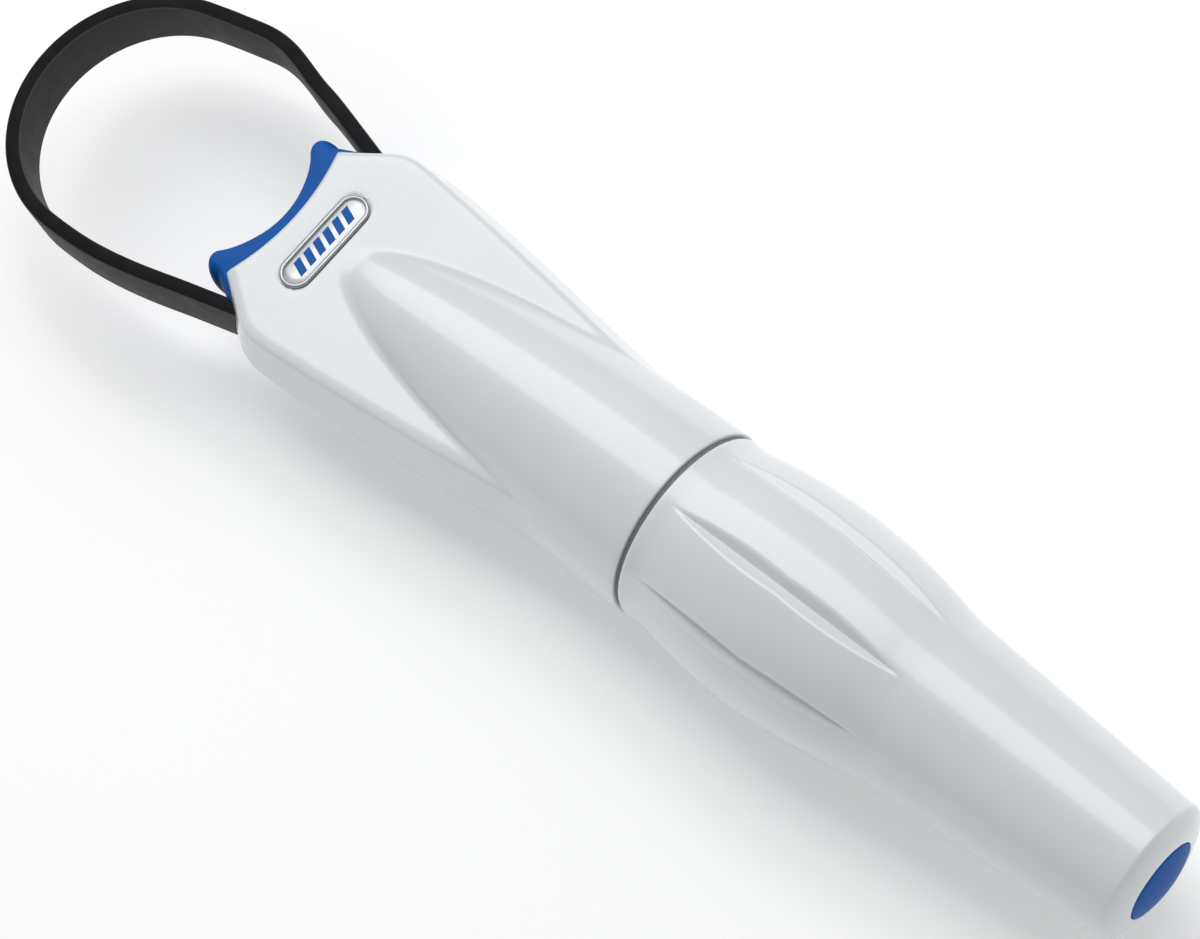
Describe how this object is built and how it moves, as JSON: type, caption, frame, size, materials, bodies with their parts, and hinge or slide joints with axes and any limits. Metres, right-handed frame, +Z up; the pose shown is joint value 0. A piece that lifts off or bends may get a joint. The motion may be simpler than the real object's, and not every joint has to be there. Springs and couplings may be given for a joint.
{
  "type": "strap jar opener",
  "caption": "Jar opener with a flat strap loop, a flat head with a rubber saddle, and a lobed twist grip that winds the strap in.",
  "frame": {"origin": "under the middle of the tool's length and width, level with its lowest point", "axes": "+X along the twist axis from the grip towards the strap loop, +Z up through the head's flat face, +Y across the tool"},
  "size_m": [0.2858, 0.0584, 0.0433],
  "materials": {
    "shell_white": "satin gloss moulding",
    "soft_blue": "satin soft rubber",
    "bezel_chrome": "bright plated",
    "badge_white": "domed gloss",
    "badge_blue": "gloss",
    "strap_black": "satin",
    "steel": "zinc plated",
    "bush_acetal": "matt",
    "seam_grey": "matt",
    "core_nylon": "glass-filled, matt",
    "nut_brass": "machined"
  },
  "bodies": {
    "housing": {"housing_top": "shell_white", "housing_bottom": "shell_white", "saddle_pad": "soft_blue", "badge_bezel": "bezel_chrome", "badge_plate": "badge_white", "badge_mark": "badge_blue", "strap": "strap_black", "strap_guide_pins": "steel", "housing_screws": "steel", "locating_dowels": "steel", "rear_bush": "bush_acetal", "thrust_washer": "steel", "front_bush": "bush_acetal", "seam_ring": "seam_grey"},
    "grip": {"grip_shell": "shell_white", "grip_core": "core_nylon", "drive_hub": "core_nylon", "cross_pin": "steel", "lead_screw": "steel", "hub_washer": "steel", "hub_screw": "steel", "end_cap": "soft_blue", "cap_ring": "seam_grey"},
    "carriage": {"carriage_block": "core_nylon", "travelling_nut": "nut_brass", "nut_ring": "steel", "strap_anchor_pins": "steel"}
  },
  "joints": [
    {"name": "grip_twist", "type": "hinge", "parent": "housing", "child": "grip", "pos_m": [-0.0326, 0, 0.02162], "axis": [1, 0, 0], "range_deg": [0, 1368]},
    {"name": "carriage_slide", "type": "slide", "parent": "housing", "child": "carriage", "axis": [-1, 0, 0], "range_m": [0, 0.0304], "deforming": ["strap"]}
  ],
  "couplings": [
    {"joint": "carriage_slide", "follows": "grip_twist", "m_per_rad": 0.0012732}
  ]
}
